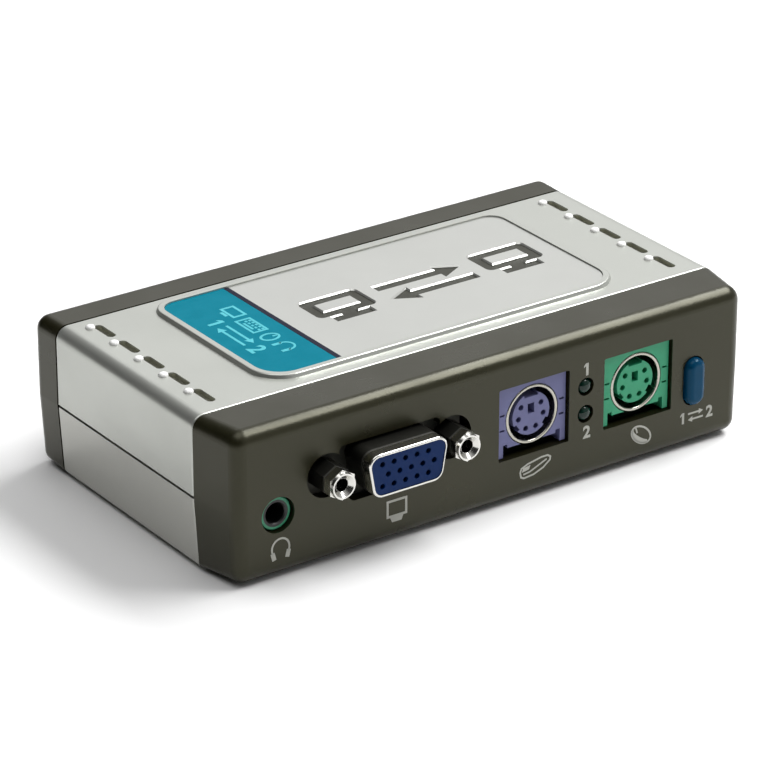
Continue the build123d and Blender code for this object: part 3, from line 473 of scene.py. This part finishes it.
select_mark = one(39.8, 5.1, 2.1) + digit("2", 45.6, 5.1, 2.1)
select_mark += arrows(40.9, 44.2, 6.15, 1.15, 0.34, 0.95)
print_mark("select_mark", select_mark, on_front, print_grey)

label_marks = frame_box(0.25, -0.75, 4.2, 1.6, 0.5) + block(1.3, -1.75, 3.1, -1.15)
label_marks += frame_box(5.9, -1.45, 11.4, 1.3, 0.45) + block(7.2, -0.95, 10.1, -0.5)
for row in (0.0, 0.75):
    for column in range(5):
        label_marks += block(6.5 + column, row - 0.2, 7.1 + column, row + 0.25)
label_marks += ring(14.3, -0.1, 1.25, 1.65, 0.45) + ribbon([(14.3, 0.4), (14.3, 1.4)], 0.4)
label_marks += ribbon(arc(18.8, 0.1, 1.5, 1.5, -15, 195), 0.4)
label_marks += ribbon([(17.35, 0.1), (17.35, -1.65)], 0.75) + ribbon([(20.25, 0.1), (20.25, -1.65)], 0.75)
label_marks += one(4.6, -6.1, 3.1) + digit("2", 17.2, -6.1, 3.1)
label_marks += arrows(6.4, 14.8, -4.55, 1.8, 0.5, 1.6)
print_mark("label_marks", label_marks, on_label, print_teal)

strip_middle = ((divider_low.x + divider_high.x) / 2 - label_x) / MM
strip_start = (label_y - divider_high.y) / MM + STRIP_INSET
strip_end = (label_y - divider_low.y) / MM - STRIP_INSET
strip = block(strip_start, strip_middle - STRIP_HALF_WIDTH, strip_end, strip_middle + STRIP_HALF_WIDTH)
print_mark("divider_print", strip, on_label, SLOTS["divider_navy"])


# ---------------------------------------------------------------- vent beads, painted highlights
def vent_glint_beads():
    """Small domed white beads at the rear inner end of every vent slot: painted highlights for the glints
    there.
    """
    made = bmesh.new()
    for side in (-1, 1):
        for index in range(VENT_COUNT):
            x = (side * VENT_X + BEAD_OFFSET[0]) * MM
            y = (VENT_FIRST_Y - index * VENT_PITCH + BEAD_OFFSET[1]) * MM
            rings = []
            for radius, rise in BEAD_PROFILE:
                rings.append([
                    made.verts.new((
                        x + radius * MM * math.cos(math.tau * turn / BEAD_SIDES),
                        y + radius * MM * math.sin(math.tau * turn / BEAD_SIDES),
                        cover_top + rise * MM,
                    ))
                    for turn in range(BEAD_SIDES)
                ])
            for low, high in zip(rings, rings[1:]):
                for turn in range(BEAD_SIDES):
                    after = (turn + 1) % BEAD_SIDES
                    made.faces.new((low[turn], low[after], high[after], high[turn]))
            made.faces.new(rings[-1])
            made.faces.new(list(reversed(rings[0])))
    for face in made.faces:
        face.smooth = True
    mesh = bpy.data.meshes.new("vent_glint_beads")
    made.to_mesh(mesh)
    made.free()
    mesh.materials.append(vent_glint_white)
    beads = bpy.data.objects.new("vent_glint_beads", mesh)
    bpy.context.scene.collection.objects.link(beads)
    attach(beads, "case")


vent_glint_beads()


# ---------------------------------------------------------------- floor, light, camera
def make_floor():
    """Plain pale floor, wide enough to reach past the picture."""
    mesh = bpy.data.meshes.new("floor")
    half = 6.0
    corners = [(-half, -half, 0), (half, -half, 0), (half, half, 0), (-half, half, 0)]
    mesh.from_pydata(corners, [], [(0, 1, 2, 3)])
    floor = bpy.data.objects.new("floor", mesh)
    bpy.context.scene.collection.objects.link(floor)
    shade = Shader("floor", (0.93, 0.93, 0.93, 1.0), 0.9)
    shade.vary(3, 0.01)
    mesh.materials.append(shade.material)


def area_light(name, place, size, power):
    """White rectangular light that points at the object's foot."""
    light = bpy.data.lights.new(name, "AREA")
    light.shape = "RECTANGLE"
    light.size, light.size_y = size
    light.energy = power
    lamp = bpy.data.objects.new(name, light)
    lamp.location = place
    lamp.rotation_euler = (-Vector(place)).to_track_quat("-Z", "Y").to_euler()
    bpy.context.scene.collection.objects.link(lamp)


def studio_world():
    """Soft surround that is bright on the right and falls off to the left."""
    world = bpy.data.worlds.new("studio")
    world.use_nodes = True
    tree = world.node_tree
    background = tree.nodes["Background"]
    place = tree.nodes.new("ShaderNodeTexCoord")
    lean = tree.nodes.new("ShaderNodeVectorMath")
    lean.operation = "DOT_PRODUCT"
    lean.inputs[1].default_value = (1.0, -0.1, 0.1)
    tree.links.new(place.outputs["Generated"], lean.inputs[0])
    fall = tree.nodes.new("ShaderNodeMapRange")
    fall.interpolation_type = "SMOOTHSTEP"
    fall.inputs["From Min"].default_value = -0.35
    fall.inputs["From Max"].default_value = 0.45
    fall.inputs["To Min"].default_value = 0.03
    fall.inputs["To Max"].default_value = 0.5
    tree.links.new(lean.outputs["Value"], fall.inputs["Value"])
    tree.links.new(fall.outputs["Result"], background.inputs["Strength"])
    background.inputs["Color"].default_value = (1, 1, 1, 1)
    bpy.context.scene.world = world


make_floor()
studio_world()
area_light("key_light", (0.52, -0.08, 0.76), (0.8, 0.32), 9.5)
area_light("back_light", (0.55, 0.8, 0.6), (0.8, 0.5), 0.9)
area_light("top_light", (-0.25, -0.1, 1.1), (0.9, 0.9), 5)

camera_data = bpy.data.cameras.new("camera")
camera_data.lens = 195.02
camera_data.sensor_width = 36
camera_data.clip_start = 0.01
camera = bpy.data.objects.new("camera", camera_data)
camera.location = Vector((-373.88, -532.17, 316.58)) * MM
sight = Vector((0.51846, 0.74248, -0.42418))
camera.rotation_euler = sight.to_track_quat("-Z", "Y").to_euler()
bpy.context.scene.collection.objects.link(camera)
bpy.context.scene.camera = camera
bpy.context.scene.view_settings.view_transform = "Standard"
